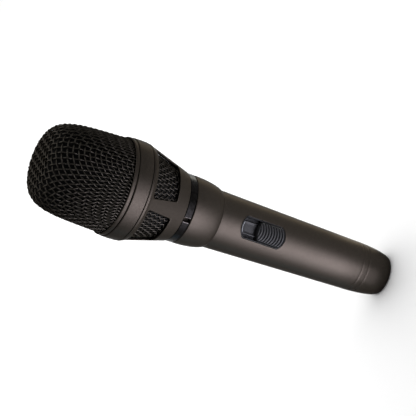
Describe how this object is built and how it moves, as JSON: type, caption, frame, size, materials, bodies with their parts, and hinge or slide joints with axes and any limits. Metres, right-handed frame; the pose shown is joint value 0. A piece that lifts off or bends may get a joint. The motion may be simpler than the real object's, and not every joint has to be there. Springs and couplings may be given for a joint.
{
  "type": "dynamic microphone",
  "caption": "Handheld dynamic microphone with a woven wire grille on a screw ring, a slotted conical neck, a sliding thumb switch and a pin socket in the rounded tail.",
  "frame": {"origin": "on the axis at the middle of the handle's grip, where a hand or a stand clip holds it, 48 mm above the tail face", "axes": "+Z along the axis towards the grille, -Y out of the thumb switch"},
  "size_m": [0.049, 0.049, 0.1907],
  "materials": {
    "satin_metal": "satin lacquered gunmetal",
    "black_wire": "black lacquer",
    "gloss_black": "gloss",
    "dark_plastic": "satin",
    "foam": "open foam",
    "cloth": "acoustic cloth",
    "rubber": "matt",
    "steel": "plated",
    "copper": "enamelled wire",
    "film": "clear film",
    "magnet_grey": "ground",
    "board_green": "solder mask",
    "silver": "silver plated",
    "wire_red": "insulated",
    "wire_white": "insulated"
  },
  "bodies": {
    "body": {"handle": "satin_metal", "neck": "satin_metal", "neck_mesh": "black_wire", "neck_liner": "cloth", "accent_ring": "gloss_black", "insert_screw": "steel", "connector_insert": "dark_plastic", "connector_pin_1": "silver", "connector_pin_2": "silver", "connector_pin_3": "silver", "shock_mount": "rubber", "capsule_housing": "steel", "yoke": "steel", "magnet": "magnet_grey", "pole_plate": "steel", "capsule_front_plate": "magnet_grey", "switch_bezel": "dark_plastic", "switch_body": "steel", "switch_board": "board_green", "board_screw_lower": "steel", "board_screw_upper": "steel", "lead_capsule_a": "wire_red", "lead_capsule_b": "wire_white", "lead_plug_a": "wire_red", "lead_plug_b": "wire_white"},
    "grille": {"grille_basket": "black_wire", "windscreen_foam": "foam", "grille_rim": "satin_metal"},
    "ring": {"coupling_ring": "satin_metal"},
    "switch": {"switch_button": "dark_plastic", "switch_actuator": "dark_plastic"},
    "moving_coil": {"diaphragm": "film", "voice_coil": "copper"}
  },
  "joints": [
    {"name": "grille_lift", "type": "slide", "parent": "body", "child": "grille", "axis": [0, 0, 1], "range_m": [0, 0.003]},
    {"name": "ring_turn", "type": "hinge", "parent": "grille", "child": "ring", "pos_m": [0, 0, 0.098], "axis": [0, 0, 1], "range_deg": [0, 720]},
    {"name": "switch_slide", "type": "slide", "parent": "body", "child": "switch", "axis": [0, 0, 1], "range_m": [0, 0.007]},
    {"name": "diaphragm_stroke", "type": "slide", "parent": "body", "child": "moving_coil", "axis": [0, 0, 1], "range_m": [-0.00025, 0.00025], "stiffness_N_per_m": 150}
  ],
  "couplings": [
    {"joint": "ring_turn", "follows": "grille_lift", "rad_per_m": 4188.8}
  ]
}
